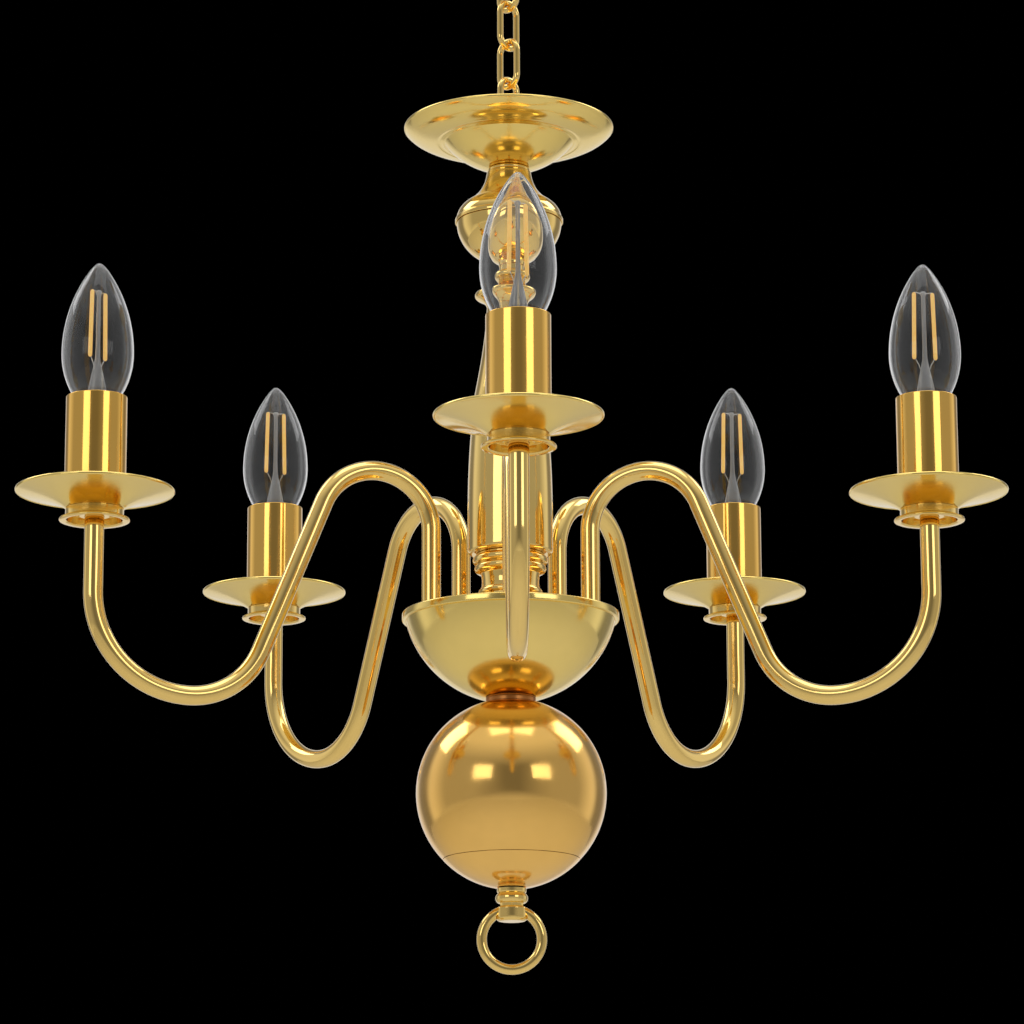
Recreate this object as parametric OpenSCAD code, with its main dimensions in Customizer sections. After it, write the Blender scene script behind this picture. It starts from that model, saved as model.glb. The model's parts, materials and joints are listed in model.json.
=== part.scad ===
// Five-arm hanging brass chandelier with candle lamps, in millimetres.
// The origin is on the ceiling, at the centre of the ceiling plate's face. +Z is up.
// Arm 1 points along -Y, and the others follow it counter-clockwise seen from above.

/* [Chain and ceiling fitting] */
// Diameter of the ceiling plate
plate_d = 60; // [50:1:80]
// Thickness of the ceiling plate
plate_t = 3; // [2:0.5:5]
// Distance between the two screw holes in the ceiling plate
plate_holes = 42; // [36:1:44]
// Diameter of each screw hole
plate_hole_d = 4.5; // [4:0.5:5]
// Depth from the ceiling to the lowest wire of the hook's eye
hook_drop = 23.25; // [22:0.25:30]
// Drop from one chain link to the next
link_pitch = 20.8; // [18:0.2:26]
// Outside width of a chain link
link_w = 15; // [14:0.5:18]
// Thickness of the chain's wire
wire_d = 3.2; // [2.8:0.1:3.4]
// Free play where one link hangs in the next
link_play = 0.3; // [0.2:0.05:0.4]

/* [Arms] */
// Distance from the centre line to each candle
arm_reach = 212; // [208:1:230]
// Outside diameter of the arm tube
arm_d = 9.4; // [9:0.1:10]
// Wall thickness of the arm tube
arm_wall = 1; // [0.8:0.1:1.2]
// Distance from the centre line to the arm's inner leg
arm_root = 41.4; // [40:0.2:43]
// Radius of the arch above the bowl
arch_r = 28.9; // [28:0.1:30]
// Height of the arch's centre above the bowl's rim
arch_h = 38.9; // [36:0.1:41]
// Radius of the lower bend on the side of the stem
sweep_r = 38; // [36:0.5:40]
// Radius of the lower bend on the side of the candle
turn_r = 48.5; // [46:0.5:50]
// Depth of the arm's lowest point below the bowl's rim
arm_low = 50.5; // [48:0.5:53]

/* [Candles] */
// Height of the drip pan's rim above the bowl's rim
pan_h = 47; // [45:0.5:49]
// Outside diameter of the drip pan
pan_d = 77; // [72:1:82]
// Outside diameter of the candle sleeve
sleeve_d = 29.6; // [29:0.1:31]
// Height of the candle sleeve's top above the bowl's rim
sleeve_h = 93.8; // [92:0.2:95]
// Largest diameter of the bulb's glass
bulb_d = 35; // [34:0.5:36]
// Height of the bulb's tip above the bowl's rim
bulb_h = 161.3; // [160:0.1:163]

/* [Stem and bowl] */
// Outside diameter of the dish at the top
dish_d = 106.6; // [100:0.2:112]
// Outside diameter of the bowl's lip
bowl_d = 108; // [106:0.5:110]
// Radius of the bowl's round wall
bowl_r = 53.7; // [53:0.1:54]
// Diameter of the ball under the bowl
ball_d = 93.8; // [93:0.2:94.6]
// Outside diameter of the ring under the ball
ring_d = 34.4; // [33:0.2:36]
// Thickness of that ring's wire
ring_wire = 5; // [4.6:0.1:5.2]
// Thickness of the sheet metal
sheet = 0.9; // [0.8:0.1:1]

/* [Hidden] */
$fn = 96;
ARMS = 5;
link_turn = 45;
eye_r = 6.2;
mid_r = link_w / 2 - wire_d / 2;
lap = 0.3;
draw = 0.02;
link_step = wire_d + link_play;
z_hook = -hook_drop;
z_loop = z_hook - 5 * link_pitch + link_step;
loop_top = 258.25;
z_rim = z_loop - loop_top;
rod_r = 5;
arch = [arm_root + arch_r, arch_h];
sweep = [arm_reach - turn_r, sweep_r - arm_low];
turn = [arm_reach - turn_r, turn_r - arm_low];
span = sweep - arch;
lean = atan2(span[1], span[0]) + acos((arch_r + sweep_r) / norm(span));
pan_floor = pan_h - 8.8;
cup_low = pan_h - 15;
cap_top = bulb_h - 72.8;
cap_low = bulb_h - 98;
belly_h = bulb_h - 45.8;
ogive_r = 73.8;
neck_r = 41;
wick_low = bulb_h - 47.3;
wick_high = bulb_h - 15.3;
ball_h = -90.2;
cap_h = -91.2;
seam_h = -123;
ring_h = -147.5;
ring_r = ring_d / 2 - ring_wire / 2;
GOLD = [0.85, 0.66, 0.28];
DEEP_GOLD = [0.80, 0.52, 0.22];
NICKEL = [0.78, 0.77, 0.72];
STEEL = [0.60, 0.61, 0.63];

function direction(v) = v / norm(v);
function normal_at(p, i) =
  let (d = direction(p[min(i + 1, len(p) - 1)] - p[max(i - 1, 0)])) [-d[1], d[0]];
// A line of points given a thickness on its left side, as a closed outline.
function skin(p, t) = concat(p, [for (i = [len(p) - 1:-1:0]) p[i] + t * normal_at(p, i)]);
// Points along a round arc.
function arc(c, r, from, to, n) =
  [for (i = [0:n]) c + r * [cos(from + (to - from) * i / n), sin(from + (to - from) * i / n)]];
// Points along a curve that leaves a towards b and reaches d from c.
function curve(a, b, c, d, n) =
  [for (i = [0:n]) let (t = i / n, s = 1 - t)
    s * s * s * a + 3 * s * s * t * b + 3 * s * t * t * c + t * t * t * d];

// Places a piece whose heights are given from the bowl's rim.
module at_rim() translate([0, 0, z_rim]) children();
// Places a piece drawn in the XZ plane along arm number k.
module at_arm(k) at_rim() rotate([0, 0, -90 + (k - 1) * 360 / ARMS]) children();
module at_candle(k) at_arm(k) translate([arm_reach, 0, 0]) children();
module disc(r, low, high) translate([0, 0, low]) cylinder(r = r, h = high - low);
module turned(outline) rotate_extrude() polygon(outline);
module washer(r, bore, low, high) {
  turned([[bore, low], [r, low], [r, high], [bore, high]]);
}
// Part of a round tube bent in the XZ plane.
module bend(c, r, from, to, tube, bore) {
  translate([c[0], 0, c[1]])
    rotate([90, 0, 0])
      rotate([0, 0, from])
        rotate_extrude(angle = to - from)
          translate([r, 0])
            tube_section(tube, bore);
}
module tube_section(tube, bore) {
  difference() {
    circle(r = tube, $fn = 48);
    if (bore > 0) circle(r = bore, $fn = 48);
  }
}
// A straight round tube between two points of the XZ plane, let a little way into the bends.
module straight(a, b, tube, bore) {
  d = direction(b - a);
  translate([a[0] - lap * d[0], 0, a[1] - lap * d[1]])
    rotate([0, 90 - atan2(d[1], d[0]), 0])
      linear_extrude(height = norm(b - a) + 2 * lap)
        tube_section(tube, bore);
}
// The run of an arm from inside the bowl up to the candle.
module arm_run(tube, bore, low, high) {
  u = [cos(lean), sin(lean)];
  bent = tube - draw;
  hole = bore > 0 ? bore + draw : 0;
  straight([arm_root, low], [arm_root, arch_h], tube, bore);
  bend(arch, arch_r, lean, 180, bent, hole);
  straight(arch + arch_r * u, sweep - sweep_r * u, tube, bore);
  bend(sweep, sweep_r, 180 + lean, 270, bent, hole);
  straight([sweep[0] - 0.1, -arm_low], [sweep[0] + 0.1, -arm_low], tube, bore);
  bend(turn, turn_r, 270, 360, bent, hole);
  straight([arm_reach, turn[1]], [arm_reach, high], tube, bore);
}
module hex_nut(r, low, high, bore) {
  difference() {
    translate([0, 0, low]) cylinder(r = r, h = high - low, $fn = 6);
    disc(bore, low - 1, high + 1);
  }
}

module ceiling_plate() {
  color(GOLD)
    difference() {
      union() {
        disc(plate_d / 2, -plate_t, 0);
        disc(6.5, -plate_t - 2.5, -plate_t);
      }
      disc(2.9, -plate_t - 3, 1);
      for (x = [-plate_holes / 2, plate_holes / 2])
        translate([x, 0, -plate_t - 1])
          cylinder(d = plate_hole_d, h = plate_t + 2);
    }
}
module ceiling_hook() {
  color(GOLD) {
    translate([0, 0, z_hook + eye_r])
      rotate([90, 0, -link_turn])
        rotate_extrude()
          translate([eye_r, 0])
            circle(d = wire_d, $fn = 48);
    disc(2.85, z_hook + 2 * eye_r, -0.5);
  }
}
// A chain link whose lowest wire is at height z.
module link(z, angle) {
  length = link_pitch + link_play - link_w + 2 * wire_d;
  color(GOLD)
    translate([0, 0, z + mid_r])
      rotate([0, 0, angle]) {
        bend([0, length], mid_r, 0, 180, wire_d / 2 - draw, 0);
        bend([0, 0], mid_r, 180, 360, wire_d / 2 - draw, 0);
        for (x = [-mid_r, mid_r])
          straight([x, 0], [x, length], wire_d / 2, 0);
      }
}
module chain_link_1() link(z_hook - link_pitch, link_turn);
module chain_link_2() link(z_hook - 2 * link_pitch, -link_turn);
module chain_link_3() link(z_hook - 3 * link_pitch, link_turn);
module chain_link_4() link(z_hook - 4 * link_pitch, -link_turn);
module chain_link_5() link(z_hook - 5 * link_pitch, link_turn);

module hanging_loop() {
  color(GOLD)
    at_rim() {
      translate([0, 0, loop_top - eye_r])
        rotate([90, 0, -link_turn])
          rotate_extrude()
            translate([eye_r, 0])
              circle(d = wire_d, $fn = 48);
      difference() {
        disc(7, 235, loop_top - 2 * eye_r + 0.6);
        disc(rod_r, 234, 241);
      }
    }
}
module top_dish() {
  flange = curve([38.4, 245.9], [45, 246.7], [50.2, 248.8], [dish_d / 2 - 0.2, 252.5], 6);
  color(GOLD)
    at_rim() {
      turned(skin(concat([[rod_r + 0.1, 231.5]], arc([0, 273.9], 43.6, -76.2, -41.4, 8),
        [[36.6, 245.4]], flange), sheet));
      translate([0, 0, 252.9])
        rotate_extrude()
          translate([dish_d / 2 - 0.8, 0])
            circle(r = 0.9, $fn = 48);
    }
}
module dish_collar() {
  color(GOLD)
    at_rim()
      turned(concat([[rod_r + 0.1, 229.4]], arc([9.6, 230.4], 1, -90, 90, 8),
        [[rod_r + 0.1, 231.4]]));
}
module baluster_top() {
  color(GOLD)
    at_rim()
      turned(skin(concat(
        [[27.4, 202.6], [27.4, 204.4]],
        curve([26.7, 204.9], [26.4, 209], [23.4, 212.2], [19.4, 214.4], 6),
        curve([18.8, 214.9], [14.8, 218.2], [12, 222.4], [11.2, 229.3], 6),
        [[rod_r + 0.1, 229.3]]), sheet));
}
module baluster_cup() {
  color(GOLD)
    at_rim()
      turned(skin(concat(
        [[rod_r + 0.1, 179.5], [8.6, 179.5], [8.6, 180.9]],
        curve([9.6, 181.8], [16.8, 184], [22, 188.4], [24.7, 194.4], 8),
        curve([25.4, 196], [26.2, 198.2], [26.5, 200.2], [26.6, 202.5], 4)), sheet));
}
module waist_ring() {
  color(GOLD)
    at_rim()
      turned(concat(
        [[rod_r + 0.1, 157.4], [11.2, 157.4]],
        curve([11.4, 158], [12, 160.6], [14.6, 161.8], [16.2, 162.6], 5),
        arc([16, 164], 1.4, -70, 90, 6),
        curve([14.6, 165.6], [10.6, 166.6], [9.2, 169], [9, 171.6], 5),
        arc([10.4, 173.6], 1.9, -90, 90, 8),
        [[8.4, 175.8], [8.2, 179.4], [rod_r + 0.1, 179.4]]));
}
module column() {
  color(GOLD)
    at_rim()
      turned(skin(concat(
        [[rod_r + 0.1, 30], [16, 30], [19.4, 30]],
        arc([19.2, 32.2], 2.1, -80, 0, 5),
        curve([21.3, 36], [21.4, 66], [20.9, 82], [18, 110], 8),
        curve([17.7, 112], [14.2, 130], [12.2, 142], [11.4, 157.3], 8),
        [[rod_r + 0.1, 157.3]]), sheet));
}
module column_base() {
  color(GOLD)
    at_rim()
      turned(concat(
        [[rod_r + 0.1, 1.4], [20.8, 1.4], [20.8, 2.8]],
        curve([20.3, 3.4], [17.4, 4.4], [15.6, 5.8], [14.9, 8.6], 5),
        arc([14.2, 10.6], 1.7, -70, 75, 6),
        curve([14.6, 12.8], [14.1, 14], [14.1, 17.4], [14.7, 19.8], 5),
        arc([15.9, 22.5], 2, -70, 70, 6),
        arc([16.7, 26.8], 2.1, -75, 80, 7),
        [[17.1, 29.9], [rod_r + 0.1, 29.9]]));
}
module bowl_cover() {
  color(GOLD)
    at_rim()
      difference() {
        turned(skin(concat([[51.2, -1.2], [49.6, 0.2]],
          curve([47, 0.8], [36, 1.2], [28, 1.3], [21.4, 1.3], 4),
          [[rod_r + 0.1, 1.3]]), 0.8));
        for (k = [1:ARMS])
          rotate([0, 0, -90 + (k - 1) * 360 / ARMS])
            translate([arm_root, 0, -5])
              cylinder(r = arm_d / 2 + 0.1, h = 10);
      }
}
module bowl() {
  color(GOLD)
    at_rim()
      difference() {
        union() {
          intersection() {
            translate([0, 0, 8.9]) sphere(r = bowl_r);
            disc(bowl_r + 1, -43, -3);
          }
          disc(bowl_d / 2 - 0.6, -3.9, -0.2);
          disc(bowl_d / 2, -3.4, -0.7);
        }
        intersection() {
          translate([0, 0, 8.9]) sphere(r = bowl_r - 1.1);
          disc(bowl_r + 1, -41.8, 5);
        }
        disc(rod_r + 0.1, -50, -30);
      }
}
module arm(k) {
  color(GOLD)
    at_arm(k)
      arm_run(arm_d / 2, arm_d / 2 - arm_wall, -13, pan_floor + 4);
}
module arm_1() arm(1);
module arm_2() arm(2);
module arm_3() arm(3);
module arm_4() arm(4);
module arm_5() arm(5);
module arm_nuts() {
  color(STEEL)
    for (k = [1:ARMS])
      at_arm(k)
        translate([arm_root, 0, 0])
          hex_nut(8, -5.6, -1.4, arm_d / 2);
}
module arm_leads() {
  color("white")
    for (k = [1:ARMS])
      at_arm(k) {
        arm_run(1.6, 0, -15, pan_floor + 2);
        bend([arm_root - 9, -15], 9, 270, 360, 1.6 - draw, 0);
        straight([18.4, -24], [arm_root - 9, -24], 1.6, 0);
      }
}
module terminal_block() {
  color("ivory")
    at_rim()
      difference() {
        disc(18, -29, -19);
        disc(rod_r + 0.3, -30, -18);
        for (k = [1:ARMS])
          rotate([0, 0, -90 + (k - 1) * 360 / ARMS])
            translate([13, 0, -22])
              cylinder(r = 1.6, h = 4);
      }
}
module centre_rod() {
  color(STEEL)
    at_rim()
      washer(rod_r, 3.5, -142, 240.9);
}
module rod_nuts() {
  color(STEEL)
    at_rim() {
      hex_nut(9, -36, -30, rod_r);
      hex_nut(9, -4.6, 0.4, rod_r);
      hex_nut(9, -56, -50, rod_r);
    }
}
module ball_spacer() {
  color(GOLD)
    at_rim()
      washer(12.4, rod_r + 0.1, -44.9, -43.1);
}
// The part of a hollow ball between two heights.
module ball_part(centre, low, high, r) {
  intersection() {
    difference() {
      translate([0, 0, centre]) sphere(r = r);
      translate([0, 0, centre]) sphere(r = r - sheet);
      disc(rod_r + 0.1, -150, -40);
    }
    disc(r + 1, low, high);
  }
}
module ball_upper() {
  color(DEEP_GOLD)
    at_rim()
      ball_part(ball_h, seam_h + 0.1, -45, ball_d / 2);
}
module ball_cap() {
  color(DEEP_GOLD)
    at_rim()
      ball_part(cap_h, -137.2, seam_h, ball_d / 2 - 0.6);
}
module finial() {
  inner = ring_r - ring_wire / 2;
  mouth = [for (x = [-8:8]) [ring_r - sqrt(inner * inner - x * x) + 0.2, x]];
  color(GOLD)
    at_rim()
      difference() {
        turned(concat(
          [[0, -153.4], [5.2, -153.4]],
          arc([5.6, -151.2], 2.2, -88, 0, 5),
          arc([6.9, -147.4], 0.9, 0, 80, 4),
          [[6.6, -146.1], [6.3, -144.8]],
          arc([5.2, -142.1], 2.8, -66, 62, 8),
          [[6.9, -139.3], [7.2, -138.9], [7.2, -137.3], [rod_r + 0.1, -137.3],
            [rod_r + 0.1, -142.1], [0, -142.1]]));
        translate([0, 0, ring_h])
          rotate([0, 90, 0])
            translate([0, 0, -9])
              cylinder(d = ring_wire + 0.6, h = 18);
        translate([0, 0, ring_h])
          intersection() {
            rotate([0, 90, 0])
              turned(concat([[0, -8]], mouth, [[0, 8]]));
            disc(20, -20, ring_wire / 2 + 0.6);
          }
      }
}
module finial_ring() {
  color(GOLD)
    at_rim()
      translate([0, 0, ring_h - ring_r])
        rotate([90, 0, 0])
          rotate_extrude()
            translate([ring_r, 0])
              circle(d = ring_wire, $fn = 48);
}

module drip_pan(k) {
  color(GOLD)
    at_candle(k) {
      turned(skin(concat(
        [[arm_d / 2 + 0.1, pan_floor], [14.2, pan_floor]],
        curve([14.4, pan_floor + 0.2], [19, pan_floor + 3.8], [27, pan_floor + 5.8],
          [pan_d / 2 - 0.8, pan_h - 0.6], 8)), sheet));
      translate([0, 0, pan_h])
        rotate_extrude()
          translate([pan_d / 2 - 0.9, 0])
            circle(r = 0.9, $fn = 48);
    }
}
module drip_pan_1() drip_pan(1);
module drip_pan_2() drip_pan(2);
module drip_pan_3() drip_pan(3);
module drip_pan_4() drip_pan(4);
module drip_pan_5() drip_pan(5);
module candle_sleeve(k) {
  color(GOLD)
    at_candle(k)
      washer(sleeve_d / 2, sleeve_d / 2 - 0.8, pan_floor + 3.1, sleeve_h);
}
module candle_sleeve_1() candle_sleeve(1);
module candle_sleeve_2() candle_sleeve(2);
module candle_sleeve_3() candle_sleeve(3);
module candle_sleeve_4() candle_sleeve(4);
module candle_sleeve_5() candle_sleeve(5);
module lampholders() {
  color("dimgray")
    for (k = [1:ARMS])
      at_candle(k)
        turned([[arm_d / 2 + 0.1, pan_floor + sheet], [11, pan_floor + sheet],
          [12.2, pan_floor + 8], [12.2, cap_top - 3], [7.05, cap_top - 3],
          [7.05, cap_low - 1.2], [arm_d / 2 + 0.1, cap_low - 1.2]]);
}
module pan_cups() {
  color(GOLD)
    for (k = [1:ARMS])
      at_candle(k)
        turned([[arm_d / 2 + 0.05, pan_floor - 0.1], [14.1, pan_floor - 0.1],
          [14.1, cup_low + 1.8], [16.9, cup_low + 1.1], [17.1, cup_low + 0.6],
          [16.8, cup_low + 0.1], [13.4, cup_low], [13, cup_low + 4.4],
          [7.8, cup_low + 4.4], [7.6, cup_low + 2.2], [arm_d / 2 + 0.05, cup_low + 2.2]]);
}

module bulb_cap(k) {
  color(NICKEL)
    at_candle(k)
      turned([[0, cap_low], [2.6, cap_low], [3.2, cap_low + 1.4], [5.4, cap_low + 3.2],
        [6.95, cap_low + 4.2], [6.95, cap_top - 2.6], [7.6, cap_top - 2],
        [7.6, cap_top], [0, cap_top]]);
}
module bulb_1_cap() bulb_cap(1);
module bulb_2_cap() bulb_cap(2);
module bulb_3_cap() bulb_cap(3);
module bulb_4_cap() bulb_cap(4);
module bulb_5_cap() bulb_cap(5);
// The bulb's outline from the cap up to its pointed tip, drawn in by t.
function bulb_outline(t) =
  let (r = bulb_d / 2 - t, rise = bulb_h - 1.4 - t - belly_h, tip = 2.4 - t / 2)
  concat([[7.4 - t, cap_top + 0.1]],
    arc([bulb_d / 2 - neck_r, belly_h], neck_r - t, -32, 0, 8),
    [for (i = [1:12]) let (z = rise * sin(90 * i / 12) * 0.965)
      [r - ogive_r + sqrt(ogive_r * ogive_r - z * z), belly_h + z]],
    [[tip, bulb_h - 0.9 - t], [tip / 2, bulb_h - 0.2 - t], [0, bulb_h - t]]);
module bulb_glass(k) {
  color([0.9, 0.95, 1, 0.35])
    at_candle(k)
      difference() {
        turned(concat([[0, cap_top + 0.1]], bulb_outline(0)));
        turned(concat([[0, cap_top - 1]], [[6.6, cap_top - 1]], bulb_outline(0.8)));
      }
}
module bulb_1_glass() bulb_glass(1);
module bulb_2_glass() bulb_glass(2);
module bulb_3_glass() bulb_glass(3);
module bulb_4_glass() bulb_glass(4);
module bulb_5_glass() bulb_glass(5);
// The glass stem with its support wires and two filaments.
module filaments(k) {
  color("gold")
    at_candle(k) {
      turned([[0, cap_top + 0.1], [5.6, cap_top + 0.1], [4.6, cap_top + 9],
        [3, cap_top + 16], [1.4, wick_low - 2], [1.2, wick_high + 1.5], [0, wick_high + 1.5]]);
      for (side = [-1, 1])
        translate([5 * side, 0, wick_low])
          cylinder(r = 1, h = wick_high - wick_low);
      for (z = [wick_low - 0.6, wick_high - 0.2])
        translate([-5.6, -0.4, z]) cube([11.2, 0.8, 0.8]);
    }
}
module bulb_1_filaments() filaments(1);
module bulb_2_filaments() filaments(2);
module bulb_3_filaments() filaments(3);
module bulb_4_filaments() filaments(4);
module bulb_5_filaments() filaments(5);

ceiling_plate();
ceiling_hook();
chain_link_1();
chain_link_2();
chain_link_3();
chain_link_4();
chain_link_5();
hanging_loop();
top_dish();
dish_collar();
baluster_top();
baluster_cup();
waist_ring();
column();
column_base();
bowl_cover();
bowl();
arm_1();
arm_2();
arm_3();
arm_4();
arm_5();
arm_nuts();
arm_leads();
terminal_block();
centre_rod();
rod_nuts();
ball_spacer();
ball_upper();
ball_cap();
finial();
finial_ring();
drip_pan_1();
drip_pan_2();
drip_pan_3();
drip_pan_4();
drip_pan_5();
candle_sleeve_1();
candle_sleeve_2();
candle_sleeve_3();
candle_sleeve_4();
candle_sleeve_5();
lampholders();
pan_cups();
bulb_1_cap();
bulb_2_cap();
bulb_3_cap();
bulb_4_cap();
bulb_5_cap();
bulb_1_glass();
bulb_2_glass();
bulb_3_glass();
bulb_4_glass();
bulb_5_glass();
bulb_1_filaments();
bulb_2_filaments();
bulb_3_filaments();
bulb_4_filaments();
bulb_5_filaments();
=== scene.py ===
"""Looks of a five-arm hanging brass chandelier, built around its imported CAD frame.

Everything is in metres in the frame of the CAD part. Outlines are in millimetres above the bowl's
rim, because that is how the turned pieces were designed, and are scaled when their mesh is made.
"""

import json
import math

import bmesh
import bpy
from mathutils import Matrix, Vector


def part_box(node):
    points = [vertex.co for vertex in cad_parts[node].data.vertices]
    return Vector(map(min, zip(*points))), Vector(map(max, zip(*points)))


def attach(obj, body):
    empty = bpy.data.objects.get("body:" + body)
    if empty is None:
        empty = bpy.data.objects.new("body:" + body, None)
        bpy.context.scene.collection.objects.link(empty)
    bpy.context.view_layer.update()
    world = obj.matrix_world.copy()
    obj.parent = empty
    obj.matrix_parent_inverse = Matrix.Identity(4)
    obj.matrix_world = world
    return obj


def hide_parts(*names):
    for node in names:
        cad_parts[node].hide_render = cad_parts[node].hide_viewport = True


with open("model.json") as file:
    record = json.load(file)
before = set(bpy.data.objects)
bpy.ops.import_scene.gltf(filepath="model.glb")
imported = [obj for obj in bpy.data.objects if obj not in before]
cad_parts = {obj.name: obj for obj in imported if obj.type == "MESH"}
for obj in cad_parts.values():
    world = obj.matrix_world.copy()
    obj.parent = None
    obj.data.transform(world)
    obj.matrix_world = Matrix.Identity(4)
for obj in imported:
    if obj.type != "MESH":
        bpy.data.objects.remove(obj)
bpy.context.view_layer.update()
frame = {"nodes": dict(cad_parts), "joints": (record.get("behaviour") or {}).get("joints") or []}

MM = 0.001
SHARP_FROM = math.radians(32)
ARMS = range(1, 6)
JOINTS = {j["name"]: j for j in frame["joints"]}


def centre(node):
    """Middle of a CAD node's box."""
    low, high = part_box(node)
    return (Vector(low) + Vector(high)) / 2


# Heights are told from the bowl's rim, which lies this far below the pivot on the chain.
LOOP_PIVOT = 254.75
LOOP_TOP = 258.25
RIM = JOINTS["chandelier_swing"]["pos_m"][2] - LOOP_PIVOT * MM
CANDLES = {k: centre(f"bulb_{k}_cap") for k in ARMS}
ARM_REACH = Vector(CANDLES[1][:2]).length / MM

# Sizes shared by several pieces, in millimetres.
SHEET = 0.9
BEAD_R = 0.9
ROD_R = 5.1
ARM_R = 4.7
ARM_ROOT = 41.4
ARCH_R = 28.9
ARCH_H = 38.9
SWEEP_R = 38.0
TURN_R = 48.5
ARM_LOW = 50.5
PAN_R = 38.5
PAN_H = 47.0
PAN_FLOOR = PAN_H - 8.8
CUP_LOW = PAN_H - 15.0
SLEEVE_R = 14.8
SLEEVE_TOP = 93.8
BULB_R = 17.5
BULB_TOP = 161.3
BELLY = BULB_TOP - 45.8
CAP_TOP = BULB_TOP - 72.8
CAP_LOW = BULB_TOP - 98
WICK_LOW = BULB_TOP - 47.3
WICK_HIGH = BULB_TOP - 15.3
WICK_SPREAD = 5.0
BULB_TURNS = {1: 40, 2: 10, 3: 15, 4: 25, 5: 52}
BOWL_R = 53.7
BOWL_H = 8.9
BOWL_WALL = 1.1
BOWL_BOTTOM = -43.0
BOWL_LIP_R = 54.0
BALL_R = 46.9
BALL_H = -90.2
CAP_R = 46.3
CAP_H = -91.2
SEAM_H = -123.0
RING_R = 14.7
RING_WIRE_R = 2.5
LINK_WIRE_R = 1.6
LINK_MID_R = 5.9
LINK_STRAIGHT = 12.5
EYE_R = 6.2
LINK_TURN = 45

# The camera. Its distance, drop, pitch and lens come from fitting the arms, pans, dish, bowl and
# ball to the photo's view with the focal length held. Its side, roll and turn were adjusted after.
CAMERA_DISTANCE = 1.9486
CAMERA_DROP = 0.4003
CAMERA_SIDE = 0.0009
CAMERA_PITCH = 0.228
CAMERA_ROLL = -0.004
CAMERA_TURN = -0.019
CAMERA_LENS = 140.7


# ---------------------------------------------------------------- outlines


def direction(a, b):
    d = (b[0] - a[0], b[1] - a[1])
    size = math.hypot(*d) or 1.0
    return d[0] / size, d[1] / size


def skin(line, thickness):
    """A line given a thickness on its left side, as a closed outline."""
    back = []
    for i in range(len(line) - 1, -1, -1):
        d = direction(line[max(i - 1, 0)], line[min(i + 1, len(line) - 1)])
        back.append((line[i][0] - thickness * d[1], line[i][1] + thickness * d[0]))
    return line + back


def arc(c, r, start, end, n):
    """Points along a round arc."""
    turns = [math.radians(start + (end - start) * i / n) for i in range(n + 1)]
    return [(c[0] + r * math.cos(t), c[1] + r * math.sin(t)) for t in turns]


def angle_at(height, centre_h, r):
    """The angle at which a round wall of radius r reaches a height, in degrees."""
    return math.degrees(math.asin((height - centre_h) / r))


def curve(a, b, c, d, n=16):
    """Points along a curve that leaves a towards b and reaches d from c."""
    points = []
    for i in range(n + 1):
        t = i / n
        s = 1 - t
        w = (s * s * s, 3 * s * s * t, 3 * s * t * t, t * t * t)
        points.append(tuple(sum(k * p[j] for k, p in zip(w, (a, b, c, d))) for j in (0, 1)))
    return points


def eased(outline, size=0.35):
    """The closed outline with its sharp corners rounded off, as buffing leaves them."""
    out = []
    n = len(outline)
    for i, p in enumerate(outline):
        before, after = outline[i - 1], outline[(i + 1) % n]
        if p[0] < 1e-6:
            out.append(p)
            continue
        u, v = direction(before, p), direction(p, after)
        if u[0] * v[0] + u[1] * v[1] > 0.88:
            out.append(p)
            continue
        cut_in = min(size, 0.4 * math.dist(before, p))
        cut_out = min(size, 0.4 * math.dist(p, after))
        a = (p[0] - u[0] * cut_in, p[1] - u[1] * cut_in)
        b = (p[0] + v[0] * cut_out, p[1] + v[1] * cut_out)
        for t in (0, 0.25, 0.5, 0.75, 1):
            s = 1 - t
            out.append(tuple(s * s * a[j] + 2 * s * t * p[j] + t * t * b[j] for j in (0, 1)))
    return out


# ---------------------------------------------------------------- meshes


def new_piece(name, verts, faces, material, body, node=None):
    """A mesh piece that rides on a body and may stand for a CAD node."""
    mesh = bpy.data.meshes.new(name)
    mesh.from_pydata(verts, [], faces)
    work = bmesh.new()
    work.from_mesh(mesh)
    bmesh.ops.remove_doubles(work, verts=work.verts, dist=1e-7)
    bmesh.ops.recalc_face_normals(work, faces=work.faces)
    work.to_mesh(mesh)
    work.free()
    mesh.shade_smooth()
    mesh.set_sharp_from_angle(angle=SHARP_FROM)
    mesh.materials.append(material)
    piece = bpy.data.objects.new(name, mesh)
    bpy.context.scene.collection.objects.link(piece)
    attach(piece, body)
    if node:
        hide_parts(node)
    return piece


def lathe_mesh(outline, at, steps):
    """Vertices and faces of an outline turned about the vertical line through at."""
    verts, faces, rings = [], [], []
    for r, z in outline:
        height = at[2] + z * MM
        if r < 1e-6:
            rings.append([len(verts)])
            verts.append((at[0], at[1], height))
            continue
        rings.append(list(range(len(verts), len(verts) + steps)))
        for s in range(steps):
            t = 2 * math.pi * s / steps
            verts.append((at[0] + r * MM * math.cos(t), at[1] + r * MM * math.sin(t), height))
    pairs = list(zip(rings, rings[1:] + rings[:1]))
    for a, b in pairs:
        for s in range(steps):
            n = (s + 1) % steps
            if len(a) == 1 and len(b) == 1:
                continue
            if len(a) == 1:
                faces.append((a[0], b[s], b[n]))
            elif len(b) == 1:
                faces.append((a[s], b[0], a[n]))
            else:
                faces.append((a[s], b[s], b[n], a[n]))
    return verts, faces


def turned(name, outline, material, node, body="chandelier", at=None, steps=128,
           ease=0.35):
    """A turned or spun piece that stands for a CAD node."""
    place = Vector((0, 0, RIM)) if at is None else Vector((at[0], at[1], RIM))
    verts, faces = lathe_mesh(eased(outline, ease) if ease else outline, place, steps)
    return new_piece(name, verts, faces, material, body, node)


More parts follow.
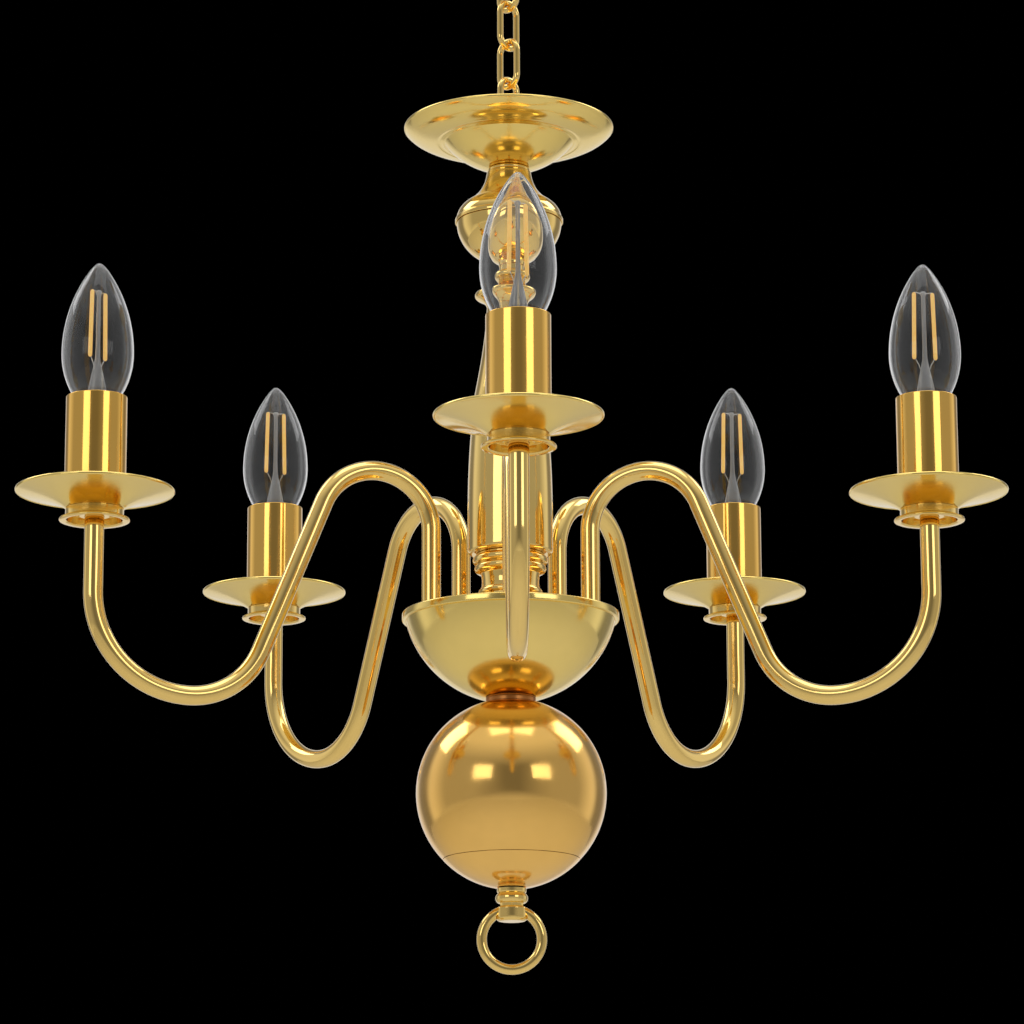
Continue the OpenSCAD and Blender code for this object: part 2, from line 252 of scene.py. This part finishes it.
def tube_mesh(path, radius, closed=False, sides=32):
    """Vertices and faces of a round wire along a path that lies in one plane."""
    normal = (path[1] - path[0]).cross(path[len(path) // 2] - path[0])
    if normal.length < 1e-12:
        normal = (path[1] - path[0]).orthogonal()
    normal.normalize()
    verts, faces = [], []
    n = len(path)
    for i, p in enumerate(path):
        if closed:
            along = path[(i + 1) % n] - path[i - 1]
        else:
            along = path[min(i + 1, n - 1)] - path[max(i - 1, 0)]
        side = along.normalized().cross(normal)
        for s in range(sides):
            t = 2 * math.pi * s / sides
            verts.append(p + radius * (math.cos(t) * side + math.sin(t) * normal))
    for i in range(n if closed else n - 1):
        a, b = i * sides, (i + 1) % n * sides
        for s in range(sides):
            e = (s + 1) % sides
            faces.append((a + s, b + s, b + e, a + e))
    if not closed:
        faces.append(tuple(range(sides)))
        faces.append(tuple(range((n - 1) * sides, n * sides)))
    return verts, faces


def merged(*parts):
    """Several (vertices, faces) pairs as one."""
    verts, faces = [], []
    for v, f in parts:
        start = len(verts)
        verts += list(v)
        faces += [tuple(i + start for i in face) for face in f]
    return verts, faces


# ---------------------------------------------------------------- materials


def material(name):
    """A new material with its nodes, links and shader."""
    mat = bpy.data.materials.new(name)
    mat.use_nodes = True
    nodes = mat.node_tree.nodes
    shader = nodes["Principled BSDF"]
    return mat, nodes, mat.node_tree.links, shader


def noise(nodes, links, scale, detail=3.0, stretch=(1, 1, 1)):
    """A noise texture in object space."""
    coordinates = nodes.new("ShaderNodeTexCoord")
    mapping = nodes.new("ShaderNodeMapping")
    mapping.inputs["Scale"].default_value = stretch
    texture = nodes.new("ShaderNodeTexNoise")
    texture.inputs["Scale"].default_value = scale
    texture.inputs["Detail"].default_value = detail
    links.new(coordinates.outputs["Object"], mapping.inputs["Vector"])
    links.new(mapping.outputs["Vector"], texture.inputs["Vector"])
    return texture.outputs["Fac"]


def ramp(nodes, links, source, low, high, start=0.3, end=0.7):
    """Maps a value from start to end onto low to high, and holds it there."""
    node = nodes.new("ShaderNodeMapRange")
    node.inputs["From Min"].default_value = start
    node.inputs["From Max"].default_value = end
    node.inputs["To Min"].default_value = low
    node.inputs["To Max"].default_value = high
    links.new(source, node.inputs["Value"])
    return node.outputs["Result"]


def blend(nodes, links, source, first, second):
    """Mixes two colours by a noise."""
    node = nodes.new("ShaderNodeValToRGB")
    node.color_ramp.elements[0].position = 0.3
    node.color_ramp.elements[0].color = (*first, 1)
    node.color_ramp.elements[1].position = 0.7
    node.color_ramp.elements[1].color = (*second, 1)
    links.new(source, node.inputs["Fac"])
    return node.outputs["Color"]


def bump(nodes, links, shader, source, strength, distance):
    """Raises the surface's look by a noise."""
    node = nodes.new("ShaderNodeBump")
    node.inputs["Strength"].default_value = strength
    node.inputs["Distance"].default_value = distance
    links.new(source, node.inputs["Height"])
    links.new(node.outputs["Normal"], shader.inputs["Normal"])


def polished_metal(name, deep, pale, rough, scratch=0.05):
    """Plated brass: slow drifts of tone, fine buffing marks and small changes of polish."""
    mat, nodes, links, shader = material(name)
    shader.inputs["Metallic"].default_value = 1.0
    tone = noise(nodes, links, 14.0)
    links.new(blend(nodes, links, tone, deep, pale), shader.inputs["Base Color"])
    polish = noise(nodes, links, 60.0, 6.0)
    links.new(ramp(nodes, links, polish, rough * 0.7, rough * 1.5), shader.inputs["Roughness"])
    marks = noise(nodes, links, 900.0, 2.0, (1, 1, 6))
    bump(nodes, links, shader, marks, scratch, 0.00004)
    return mat


def plastic(name, dark, light, rough):
    """Moulded plastic with a fine grain."""
    mat, nodes, links, shader = material(name)
    links.new(blend(nodes, links, noise(nodes, links, 30.0), dark, light), shader.inputs["Base Color"])
    links.new(ramp(nodes, links, noise(nodes, links, 120.0), rough * 0.8, rough * 1.2),
              shader.inputs["Roughness"])
    bump(nodes, links, shader, noise(nodes, links, 400.0), 0.15, 0.0001)
    return mat


def clear_glass():
    """Blown glass of a bulb, with a faint ripple."""
    mat, nodes, links, shader = material("bulb_glass")
    shader.inputs["Base Color"].default_value = (1.0, 1.0, 1.0, 1)
    shader.inputs["Transmission Weight"].default_value = 1.0
    shader.inputs["IOR"].default_value = 1.36
    links.new(ramp(nodes, links, noise(nodes, links, 40.0), 0.0, 0.02), shader.inputs["Roughness"])
    bump(nodes, links, shader, noise(nodes, links, 70.0, 1.0), 0.08, 0.0003)
    return mat


def stem_glass():
    """The pinched glass of a bulb's stem, a little milky from being worked."""
    mat, nodes, links, shader = material("stem_glass")
    shader.inputs["Base Color"].default_value = (0.95, 0.96, 0.96, 1)
    shader.inputs["Transmission Weight"].default_value = 0.72
    shader.inputs["IOR"].default_value = 1.5
    links.new(ramp(nodes, links, noise(nodes, links, 300.0), 0.05, 0.25), shader.inputs["Roughness"])
    bump(nodes, links, shader, noise(nodes, links, 350.0, 1.0), 0.3, 0.0003)
    return mat


def filament_coat_with_painted_glow():
    """The yellow coating of a filament, with the grain of its small chips, and a painted glow: the bulbs are
    unlit, yet the rods are given a faint orange emission.
    """
    mat, nodes, links, shader = material("filament_coat_painted_glow")
    grain = noise(nodes, links, 900.0)
    links.new(blend(nodes, links, grain, (1.0, 0.52, 0.10), (1.0, 0.66, 0.20)), shader.inputs["Base Color"])
    shader.inputs["Roughness"].default_value = 0.5
    # Painted glow: the unlit filament is made to emit a faint orange light so it looks bright under any
    # lamps.
    shader.inputs["Emission Color"].default_value = (1.0, 0.60, 0.16, 1)
    shader.inputs["Emission Strength"].default_value = 0.4
    bump(nodes, links, shader, grain, 0.3, 0.0001)
    return mat


GOLD = polished_metal("polished_gold", (0.90, 0.62, 0.19), (0.94, 0.67, 0.23), 0.07)
PALE_GOLD = polished_metal("pale_gold", (0.90, 0.66, 0.19), (0.94, 0.70, 0.23), 0.13)
DEEP_GOLD = polished_metal("deep_gold", (0.90, 0.53, 0.13), (0.94, 0.57, 0.16), 0.13)
SLEEVE_GOLD = polished_metal("sleeve_gold", (0.90, 0.52, 0.11), (0.94, 0.57, 0.14), 0.09)
# Painted shade: a dark reddish brown for the ball spacer, standing in for the shade in the narrow neck
# between bowl and ball.
NECK_PAINTED_SHADE_GOLD = polished_metal("painted_shade_gold", (0.50, 0.19, 0.05), (0.58, 0.24, 0.07), 0.30)
NICKEL = polished_metal("nickel", (0.70, 0.68, 0.62), (0.80, 0.78, 0.72), 0.18)
STEEL = polished_metal("zinc_steel", (0.50, 0.50, 0.49), (0.62, 0.62, 0.60), 0.30, 0.2)
BLACK = plastic("holder_black", (0.012, 0.012, 0.013), (0.03, 0.03, 0.032), 0.45)
IVORY = plastic("ivory_plastic", (0.70, 0.66, 0.55), (0.80, 0.76, 0.65), 0.40)
LEAD = plastic("lead_white", (0.70, 0.70, 0.68), (0.82, 0.82, 0.80), 0.50)
GLASS = clear_glass()
STEM_GLASS = stem_glass()
PAINTED_GLOW_COAT = filament_coat_with_painted_glow()


# ---------------------------------------------------------------- chain and stem


def in_plane(angle, x, z, height=0.0):
    """A point in the upright plane at that angle from X, x sideways and z up, in millimetres."""
    t = math.radians(angle)
    return Vector((x * math.cos(t) * MM, x * math.sin(t) * MM, height + z * MM))


def chain_link(k):
    """One oval wire link, with the small swelling of its weld on one side."""
    lowest = JOINTS[f"link_{k + 1}_swing" if k < 5 else "chandelier_swing"]["pos_m"][2]
    angle = LINK_TURN if k % 2 else -LINK_TURN
    bottom = arc((0, LINK_MID_R), LINK_MID_R, 180, 360, 24)
    top = arc((0, LINK_MID_R + LINK_STRAIGHT), LINK_MID_R, 0, 180, 24)
    outline = bottom + [(LINK_MID_R, LINK_MID_R + LINK_STRAIGHT * i / 8) for i in range(1, 8)]
    outline += top + [(-LINK_MID_R, LINK_MID_R + LINK_STRAIGHT * (1 - i / 8)) for i in range(1, 8)]
    path = [in_plane(angle, x, z, lowest) for x, z in outline]
    verts, faces = tube_mesh(path, LINK_WIRE_R * MM, closed=True, sides=24)
    new_piece(f"link_{k}_wire", verts, faces, GOLD, f"link_{k}", f"chain_link_{k}")


def eye(angle, height):
    """Vertices and faces of a closed eye whose centre is at that height."""
    path = [in_plane(angle, x, z, height) for x, z in arc((0, 0), EYE_R, 0, 355, 71)]
    return tube_mesh(path, LINK_WIRE_R * MM, closed=True, sides=24)


def ceiling_hook():
    pivot = JOINTS["link_1_swing"]["pos_m"][2]
    ring = eye(-LINK_TURN, pivot + EYE_R * MM)
    shank = lathe_mesh(eased([(0, 0), (1.9, 0), (2.6, 1.2), (2.85, 2.4), (2.85, 10.1), (0, 10.1)]),
                       (0, 0, pivot + 2 * EYE_R * MM), 48)
    verts, faces = merged(ring, shank)
    new_piece("hook_eye", verts, faces, GOLD, "ceiling_fitting", "ceiling_hook")


def hanging_loop():
    ring = eye(-LINK_TURN, RIM + (LOOP_TOP - EYE_R) * MM)
    boss = [(0, 241), (ROD_R - 0.1, 241), (ROD_R - 0.1, 235), (7, 235), (7, 242.8)]
    boss += curve((6.6, 243.6), (5.4, 244.4), (3.2, 245.2), (2.4, 246.4), 8) + [(0, 246.4)]
    collar = lathe_mesh(eased(boss), (0, 0, RIM), 64)
    verts, faces = merged(ring, collar)
    new_piece("stem_loop", verts, faces, GOLD, "chandelier", "hanging_loop")


def bead_edge(r, z):
    """The rolled edge that ends a spun dish: an arc that turns up and back over."""
    return arc((r, z), BEAD_R, -70, 200, 14)


def top_dish():
    bowl = arc((0, 273.9), 43.6, -76.2, -41.4, 24)
    bowl += curve((33.4, 245), (34.6, 245.7), (35.8, 245.6), (36.6, 245.4), 6)
    flange = curve((38.4, 245.9), (45, 246.7), (50.2, 248.8), (53, 252.3), 16)
    under = [(ROD_R, 231.5)] + bowl + flange + bead_edge(52.5, 252.9)
    inside = [(r - 0.5, z + SHEET) for r, z in flange[::-1][2:]]
    inside += [(r - 0.4, z + SHEET) for r, z in bowl[::-1]] + [(ROD_R, 231.5 + SHEET)]
    turned("dish_spun", under + inside, PALE_GOLD, "top_dish", steps=160)


def dish_collar():
    outline = [(ROD_R, 229.4)] + arc((9.6, 230.4), 1, -90, 90, 14) + [(ROD_R, 231.4)]
    turned("collar_bead", outline, GOLD, "dish_collar")


def baluster():
    top = [(27.4, 202.6), (27.4, 204.4)]
    top += curve((26.7, 204.9), (26.4, 209), (23.4, 212.2), (19.4, 214.4))
    top += curve((18.8, 214.9), (14.8, 218.2), (12, 222.4), (11.2, 229.3)) + [(ROD_R, 229.3)]
    turned("baluster_shoulder", skin(top, SHEET), GOLD, "baluster_top")
    cup = [(ROD_R, 179.5), (8.6, 179.5), (8.6, 180.9)]
    cup += curve((9.6, 181.8), (16.8, 184), (22, 188.4), (24.7, 194.4))
    cup += curve((25.4, 196), (26.2, 198.2), (26.5, 200.2), (26.6, 202.5), 10)
    turned("baluster_bowl", skin(cup, SHEET), GOLD, "baluster_cup")
    ring = [(ROD_R, 157.4), (11.2, 157.4)] + curve((11.4, 158), (12, 160.6), (14.6, 161.8), (16.2, 162.6), 10)
    ring += arc((16, 164), 1.4, -70, 90, 10)
    ring += curve((14.6, 165.6), (10.6, 166.6), (9.2, 169), (9, 171.6), 10)
    ring += arc((10.4, 173.6), 1.9, -90, 90, 12) + [(8.4, 175.8), (8.2, 179.4), (ROD_R, 179.4)]
    turned("waist_bead", ring, GOLD, "waist_ring")


def column():
    side = [(ROD_R, 30), (16, 30), (19.4, 30)] + arc((19.2, 32.2), 2.1, -80, 0, 8)
    side += curve((21.3, 34.6), (21.4, 66), (20.9, 82), (18, 110), 24)
    side += curve((17.7, 112), (14.2, 130), (12.2, 142), (11.4, 157.3), 24) + [(ROD_R, 157.3)]
    turned("column_vase", skin(side, SHEET), GOLD, "column", steps=160)
    base = [(ROD_R, 1.4), (20.8, 1.4), (20.8, 2.8)]
    base += curve((20.3, 3.4), (17.4, 4.4), (15.6, 5.8), (14.9, 8.6), 10)
    base += arc((14.2, 10.6), 1.7, -70, 75, 12)
    base += curve((14.6, 12.8), (14.1, 14), (14.1, 17.4), (14.7, 19.8), 10)
    base += arc((15.9, 22.5), 2, -70, 70, 12) + arc((16.7, 26.8), 2.1, -75, 80, 14)
    base += [(17.1, 29.9), (ROD_R, 29.9)]
    turned("base_turning", base, GOLD, "column_base", steps=160)


def bowl():
    start = angle_at(BOWL_BOTTOM, BOWL_H, BOWL_R)
    end = angle_at(-3.9, BOWL_H, BOWL_R)
    outside = [(ROD_R, BOWL_BOTTOM)] + arc((0, BOWL_H), BOWL_R, start, end, 40)
    lip = [(BOWL_LIP_R - 0.6, -3.8)] + arc((BOWL_LIP_R - 0.6, -3.2), 0.6, -60, 0, 4)
    lip += arc((BOWL_LIP_R - 0.7, -0.9), 0.7, 0, 90, 5) + [(BOWL_LIP_R - 1.6, -0.2)]
    inner = BOWL_R - BOWL_WALL
    floor_h = BOWL_BOTTOM + BOWL_WALL
    inside = arc((0, BOWL_H), inner, -9.8, angle_at(floor_h, BOWL_H, inner), 40)
    inside.append((ROD_R, floor_h))
    turned("bowl_spun", outside + lip + inside, PALE_GOLD, "bowl", steps=192, ease=0)


def ball():
    def shell(centre_h, low, high, r):
        wall = arc((0, centre_h), r, angle_at(low, centre_h, r), angle_at(high, centre_h, r), 48)
        inner = r - SHEET
        return wall + [(x * inner / r, centre_h + (z - centre_h) * inner / r) for x, z in reversed(wall)]

    turned("ball_shell", shell(BALL_H, SEAM_H + 0.15, -45.1, BALL_R), DEEP_GOLD, "ball_upper",
           steps=192, ease=0.15)
    turned("ball_bottom", shell(CAP_H, -137.2, SEAM_H - 0.05, CAP_R), DEEP_GOLD, "ball_cap",
           steps=192, ease=0.15)


def finial_ring():
    pivot = JOINTS["ring_swing"]["pos_m"][2]
    path = [in_plane(0, x, z, pivot) for x, z in arc((0, -RING_R), RING_R, 0, 357.5, 143)]
    verts, faces = tube_mesh(path, RING_WIRE_R * MM, closed=True, sides=32)
    new_piece("ring_wire", verts, faces, GOLD, "ring", "finial_ring")


# ---------------------------------------------------------------- arms and candles


def arm(k):
    """The bent tube of one arm, from inside the bowl to the cup under its pan."""
    arch = (ARM_ROOT + ARCH_R, ARCH_H)
    sweep = (ARM_REACH - TURN_R, SWEEP_R - ARM_LOW)
    turn = (ARM_REACH - TURN_R, TURN_R - ARM_LOW)
    dx, dz = sweep[0] - arch[0], sweep[1] - arch[1]
    lean = math.degrees(math.atan2(dz, dx) + math.acos((ARCH_R + SWEEP_R) / math.hypot(dx, dz)))
    outline = [(ARM_ROOT, -13 + 4 * i) for i in range(13)]
    outline += arc(arch, ARCH_R, 180, lean, 56)
    a, b = outline[-1], arc(sweep, SWEEP_R, 180 + lean, 270, 1)[0]
    outline += [(a[0] + (b[0] - a[0]) * i / 12, a[1] + (b[1] - a[1]) * i / 12) for i in range(1, 12)]
    outline += arc(sweep, SWEEP_R, 180 + lean, 270, 30)
    outline += arc(turn, TURN_R, 270, 360, 40)[1:]
    rise = PAN_FLOOR + 4 - turn[1]
    outline += [(ARM_REACH, turn[1] + rise * i / 8) for i in range(1, 9)]
    angle = math.degrees(math.atan2(CANDLES[k].y, CANDLES[k].x))
    path = [in_plane(angle, x, z, RIM) for x, z in outline]
    verts, faces = tube_mesh(path, ARM_R * MM, sides=40)
    new_piece(f"arm_{k}_tube", verts, faces, GOLD, "chandelier", f"arm_{k}")


def drip_pan(k):
    side = curve((14.4, PAN_FLOOR + 0.2), (19, PAN_FLOOR + 3.8), (27, PAN_FLOOR + 5.8),
                 (PAN_R - 0.8, PAN_H - 0.6), 24)
    under = [(ROD_R, PAN_FLOOR), (14.0, PAN_FLOOR)] + side + bead_edge(PAN_R - BEAD_R, PAN_H)
    inside = [(r - 0.35, z + SHEET) for r, z in side[::-1][1:]] + [(ROD_R, PAN_FLOOR + SHEET)]
    turned(f"pan_{k}_spun", under + inside, PALE_GOLD, f"drip_pan_{k}", at=CANDLES[k], steps=144)


def candle_sleeve(k):
    low = PAN_FLOOR + 3.1
    outline = [(SLEEVE_R - 0.8, low), (SLEEVE_R, low), (SLEEVE_R, SLEEVE_TOP - 0.45)]
    outline += arc((SLEEVE_R - 0.4, SLEEVE_TOP - 0.45), 0.4, 0, 180, 12)
    turned(f"sleeve_{k}_tube", outline, SLEEVE_GOLD, f"candle_sleeve_{k}", at=CANDLES[k], steps=128, ease=0.1)


def pan_cups():
    """The ring and hub under every pan, in one piece as in the CAD."""
    outline = [(ARM_R + 0.05, PAN_FLOOR - 0.1), (14.1, PAN_FLOOR - 0.1), (14.1, CUP_LOW + 2.4)]
    outline += curve((14.2, CUP_LOW + 2), (15, CUP_LOW + 1.6), (16.2, CUP_LOW + 1.5),
                     (16.8, CUP_LOW + 1.2), 6)
    outline += [(17.1, CUP_LOW + 0.7), (17.0, CUP_LOW + 0.2), (16.6, CUP_LOW), (14.0, CUP_LOW),
                (13.4, CUP_LOW + 0.5), (13, CUP_LOW + 4.4), (7.8, CUP_LOW + 4.4), (7.6, CUP_LOW + 2.6),
                (7.2, CUP_LOW + 2.2), (ARM_R + 0.05, CUP_LOW + 2.2)]
    parts = [lathe_mesh(eased(outline, 0.25), (CANDLES[k].x, CANDLES[k].y, RIM), 96) for k in ARMS]
    verts, faces = merged(*parts)
    new_piece("cup_rings", verts, faces, GOLD, "chandelier", "pan_cups")


# ---------------------------------------------------------------- bulbs


def bulb_wall(inset):
    """The bulb's outline from its neck up to the tip, drawn in by inset."""
    neck_r, ogive_r = 41.0, 73.8
    r = BULB_R - inset
    rise = BULB_TOP - 1.4 - inset - BELLY
    line = [(7.4 - inset, CAP_TOP + 0.1)]
    line += arc((BULB_R - neck_r, BELLY), neck_r - inset, -32, 0, 24)
    for i in range(1, 33):
        z = rise * math.sin(math.radians(90 * i / 32)) * 0.965
        line.append((r - ogive_r + math.sqrt(ogive_r * ogive_r - z * z), BELLY + z))
    last = line[-1]
    top = BULB_TOP - inset
    line += curve(last, (last[0] * 0.72, last[1] + 0.9), (last[0] * 0.42, top), (0, top), 10)[1:]
    return line


def bulb_glass(k):
    outside = bulb_wall(0.0)
    inside = bulb_wall(0.7)
    turned(f"bulb_{k}_envelope", outside + inside[::-1], GLASS, f"bulb_{k}_glass", f"bulb_{k}",
           at=CANDLES[k], steps=96, ease=0)


def bulb_cap(k):
    """The screw cap: a contact, an insulator and a rolled thread."""
    outline = [(0, CAP_LOW), (1.8, CAP_LOW), (2.6, CAP_LOW + 0.5), (3.2, CAP_LOW + 1.4),
               (5.4, CAP_LOW + 3.2), (6.2, CAP_LOW + 4.0)]
    low, high = CAP_LOW + 4.6, CAP_TOP - 3.2
    turns = 6
    for i in range(turns * 8 + 1):
        z = low + (high - low) * i / (turns * 8)
        outline.append((6.55 + 0.38 * math.sin(2 * math.pi * i / 8), z))
    outline += [(6.9, CAP_TOP - 2.8), (7.55, CAP_TOP - 2.2), (7.6, CAP_TOP - 0.3), (7.3, CAP_TOP),
                (0, CAP_TOP)]
    turned(f"bulb_{k}_screw", outline, NICKEL, f"bulb_{k}_cap", f"bulb_{k}", at=CANDLES[k],
           steps=64, ease=0.1)


def straight_tube(a, b, radius, sides=16):
    """A round rod with domed ends between two points."""
    along = (b - a).normalized()
    side = along.orthogonal().normalized()
    other = along.cross(side)
    rings = [(-0.9, 0.35), (-0.6, 0.75), (0, 1.0)]
    spots = [(a + along * radius * h, w) for h, w in rings]
    spots += [(b - along * radius * h, w) for h, w in reversed(rings)]
    verts, faces = [], []
    for spot, w in spots:
        for s in range(sides):
            t = 2 * math.pi * s / sides
            verts.append(spot + radius * w * (math.cos(t) * side + math.sin(t) * other))
    for i in range(len(spots) - 1):
        for s in range(sides):
            n = (s + 1) % sides
            faces.append((i * sides + s, (i + 1) * sides + s, (i + 1) * sides + n, i * sides + n))
    faces.append(tuple(range(sides)))
    faces.append(tuple(range((len(spots) - 1) * sides, len(spots) * sides)))
    return verts, faces


def bulb_inside(k):
    """Two coated filaments held by thin wires on a glass stem, each bulb turned its own way."""
    base = Vector((CANDLES[k].x, CANDLES[k].y, RIM))
    turn = math.radians(BULB_TURNS[k])

    def spot(x, z):
        return base + Vector((x * math.cos(turn), x * math.sin(turn), z)) * MM

    stem = [(0, CAP_TOP + 0.1), (5.6, CAP_TOP + 0.1), (5.5, CAP_TOP + 1)]
    stem += curve((5.3, CAP_TOP + 3), (4.9, CAP_TOP + 7), (3.8, CAP_TOP + 12), (3.0, CAP_TOP + 16), 12)
    stem += curve((2.6, CAP_TOP + 18), (2.0, CAP_TOP + 20), (1.5, WICK_LOW - 2.5), (1.2, WICK_LOW), 8)
    stem += [(1.05, WICK_LOW + 6), (1.0, WICK_HIGH - 1)] + arc((0.3, WICK_HIGH + 0.3), 1.2, -20, 80, 6)
    stem += [(0, WICK_HIGH + 1.5)]
    turned(f"bulb_{k}_stem", stem, STEM_GLASS, None, f"bulb_{k}", at=CANDLES[k], steps=48,
           ease=0)
    rods = [straight_tube(spot(x * 1.08, WICK_LOW), spot(x * 0.94, WICK_HIGH), 1.0 * MM)
            for x in (-WICK_SPREAD, WICK_SPREAD)]
    verts, faces = merged(*rods)
    # The filament rods carry a painted glow: the bulbs are unlit, yet the rods emit a faint orange light.
    new_piece(f"bulb_{k}_painted_glow_rods", verts, faces, PAINTED_GLOW_COAT, f"bulb_{k}", f"bulb_{k}_filaments")
    wires = []
    for side in (-1, 1):
        bends = [(2.2, CAP_TOP + 1), (1.6, WICK_LOW - 8), (3.2, WICK_LOW - 3.4), (5.4, WICK_LOW + 0.4)]
        bends = [spot(x * side, z) for x, z in bends]
        hanger = [(4.7, WICK_HIGH - 0.3), (4.4, WICK_HIGH + 1), (0, WICK_HIGH + 0.2)]
        hanger = [spot(x * side, z) for x, z in hanger]
        for line in (bends, hanger):
            for start, end in zip(line, line[1:]):
                wires.append(straight_tube(start, end, 0.2 * MM, 8))
    verts, faces = merged(*wires)
    new_piece(f"bulb_{k}_wires", verts, faces, NICKEL, f"bulb_{k}", None)


# ---------------------------------------------------------------- CAD nodes kept as they are


def keep(node, mat):
    """Gives a CAD node that stays its material and smooth shading."""
    piece = frame["nodes"][node]
    piece.data.materials.clear()
    piece.data.materials.append(mat)
    piece.data.shade_smooth()
    piece.data.set_sharp_from_angle(angle=SHARP_FROM)


# ---------------------------------------------------------------- studio


def area_light(name, place, target, size, power):
    data = bpy.data.lights.new(name, "AREA")
    data.shape = "RECTANGLE"
    data.size, data.size_y = size
    data.energy = power
    light = bpy.data.objects.new(name, data)
    light.location = place
    light.rotation_euler = (Vector(target) - Vector(place)).to_track_quat("-Z", "Y").to_euler()
    light.visible_camera = False
    light.visible_transmission = False
    bpy.context.scene.collection.objects.link(light)


def studio_lights():
    """Soft boxes either side of the camera, two kickers high behind, and a soft box above.

    Each pair has its turn from the camera's side and its rise in degrees, and its distance."""
    middle = Vector((0, 0, RIM))
    boxes = (("soft_box", 36, 15, 2.0, (0.8, 0.55), 2.2), ("kicker", 116, 43, 2.2, (0.9, 0.9), 6.5))
    for name, turn, rise, distance, size, power in boxes:
        for side, sign in (("left", -1), ("right", 1)):
            t, e = math.radians(turn * sign), math.radians(rise)
            away = Vector((math.sin(t) * math.cos(e), -math.cos(t) * math.cos(e), math.sin(e)))
            area_light(f"{name}_{side}", middle + away * distance, middle, size, power)
    area_light("overhead", middle + Vector((0, -0.1, 2.2)), middle, (1.6, 1.6), 12)


def math_node(nodes, links, operation, first, second=None):
    """A Math node whose inputs are sockets or numbers."""
    node = nodes.new("ShaderNodeMath")
    node.operation = operation
    for socket, value in zip(node.inputs, (first, second)):
        if value is None:
            continue
        if isinstance(value, (int, float)):
            socket.default_value = value
        else:
            links.new(value, socket)
    return node.outputs["Value"]


def studio_world():
    """A soft grey surround: dim in front and in a band behind, paler at the sides, and pale above,
    below and either side of the band. Its strengths were tuned with the metal's colours by comparing
    renders with the photo. The camera itself sees black past the floor."""
    world = bpy.data.worlds.new("studio")
    bpy.context.scene.world = world
    world.use_nodes = True
    nodes, links = world.node_tree.nodes, world.node_tree.links
    surround = nodes["Background"]
    surround.inputs["Color"].default_value = (1, 1, 1, 1)
    where = nodes.new("ShaderNodeTexCoord")
    split = nodes.new("ShaderNodeSeparateXYZ")
    links.new(where.outputs["Generated"], split.inputs["Vector"])
    sideways = math_node(nodes, links, "ABSOLUTE", split.outputs["X"])
    bright = ramp(nodes, links, sideways, 0.0, 0.38, 0.15, 0.75)
    for axis, low, high in (("Z", 0.40, 0.80), ("Z", -0.08, -0.35), ("Y", -0.25, 0.35)):
        part = ramp(nodes, links, split.outputs[axis], 0.0, 1.0, low, high)
        bright = math_node(nodes, links, "MAXIMUM", bright, part)
    band = ramp(nodes, links, split.outputs["Y"], 0.0, 0.9, 0.45, 0.60)
    past = ramp(nodes, links, split.outputs["Y"], 0.0, 0.9, 0.80, 0.92)
    bright = math_node(nodes, links, "ADD", math_node(nodes, links, "SUBTRACT", bright, band), past)
    links.new(ramp(nodes, links, bright, 0.19, 0.76, 0.0, 1.0), surround.inputs["Strength"])
    backdrop = nodes.new("ShaderNodeBackground")
    backdrop.inputs["Color"].default_value = (0, 0, 0, 1)
    path = nodes.new("ShaderNodeLightPath")
    bounced = math_node(nodes, links, "ADD", path.outputs["Glossy Depth"], path.outputs["Diffuse Depth"])
    straight = math_node(nodes, links, "LESS_THAN", bounced, 0.5)
    through = math_node(nodes, links, "MULTIPLY", path.outputs["Is Transmission Ray"], straight)
    seen = math_node(nodes, links, "MAXIMUM", path.outputs["Is Camera Ray"], through)
    mix = nodes.new("ShaderNodeMixShader")
    links.new(seen, mix.inputs["Fac"])
    links.new(surround.outputs["Background"], mix.inputs[1])
    links.new(backdrop.outputs["Background"], mix.inputs[2])
    links.new(mix.outputs["Shader"], nodes["World Output"].inputs["Surface"])
    bpy.context.scene.view_settings.view_transform = "Standard"


def floor():
    mesh = bpy.data.meshes.new("floor")
    half = 4.0
    level = RIM - 1.2
    mesh.from_pydata([(-half, -half, level), (half, -half, level), (half, half, level), (-half, half, level)],
                     [], [(0, 1, 2, 3)])
    mat, nodes, links, shader = material("pale_floor")
    tone = noise(nodes, links, 3.0)
    links.new(blend(nodes, links, tone, (0.78, 0.77, 0.75), (0.82, 0.81, 0.79)), shader.inputs["Base Color"])
    shader.inputs["Roughness"].default_value = 0.9
    mesh.materials.append(mat)
    piece = bpy.data.objects.new("floor", mesh)
    bpy.context.scene.collection.objects.link(piece)


def camera():
    data = bpy.data.cameras.new("camera")
    data.lens = CAMERA_LENS
    data.sensor_width = 36
    data.clip_end = 50
    piece = bpy.data.objects.new("camera", data)
    stand = Matrix.Translation((CAMERA_SIDE, -CAMERA_DISTANCE, RIM - CAMERA_DROP))
    tilt = Matrix.Rotation(math.pi / 2 + CAMERA_PITCH, 4, "X")
    roll = Matrix.Rotation(CAMERA_ROLL, 4, "Z")
    piece.matrix_world = Matrix.Rotation(CAMERA_TURN, 4, "Z") @ stand @ tilt @ roll
    bpy.context.scene.collection.objects.link(piece)
    bpy.context.scene.camera = piece


camera()
studio_world()
studio_lights()
floor()

ceiling_hook()
for number in ARMS:
    chain_link(number)
hanging_loop()
top_dish()
dish_collar()
baluster()
column()
bowl()
ball()
finial_ring()
pan_cups()
for number in ARMS:
    arm(number)
    drip_pan(number)
    candle_sleeve(number)
    bulb_glass(number)
    bulb_cap(number)
    bulb_inside(number)

kept_finishes = {
    # The ball spacer's dark colour is painted shade for the neck between bowl and ball.
    "ceiling_plate": GOLD, "bowl_cover": GOLD, "ball_spacer": NECK_PAINTED_SHADE_GOLD, "finial": GOLD,
    "arm_nuts": STEEL, "centre_rod": STEEL, "rod_nuts": STEEL, "lampholders": BLACK,
    "terminal_block": IVORY, "arm_leads": LEAD,
}
for kept, finish in kept_finishes.items():
    keep(kept, finish)
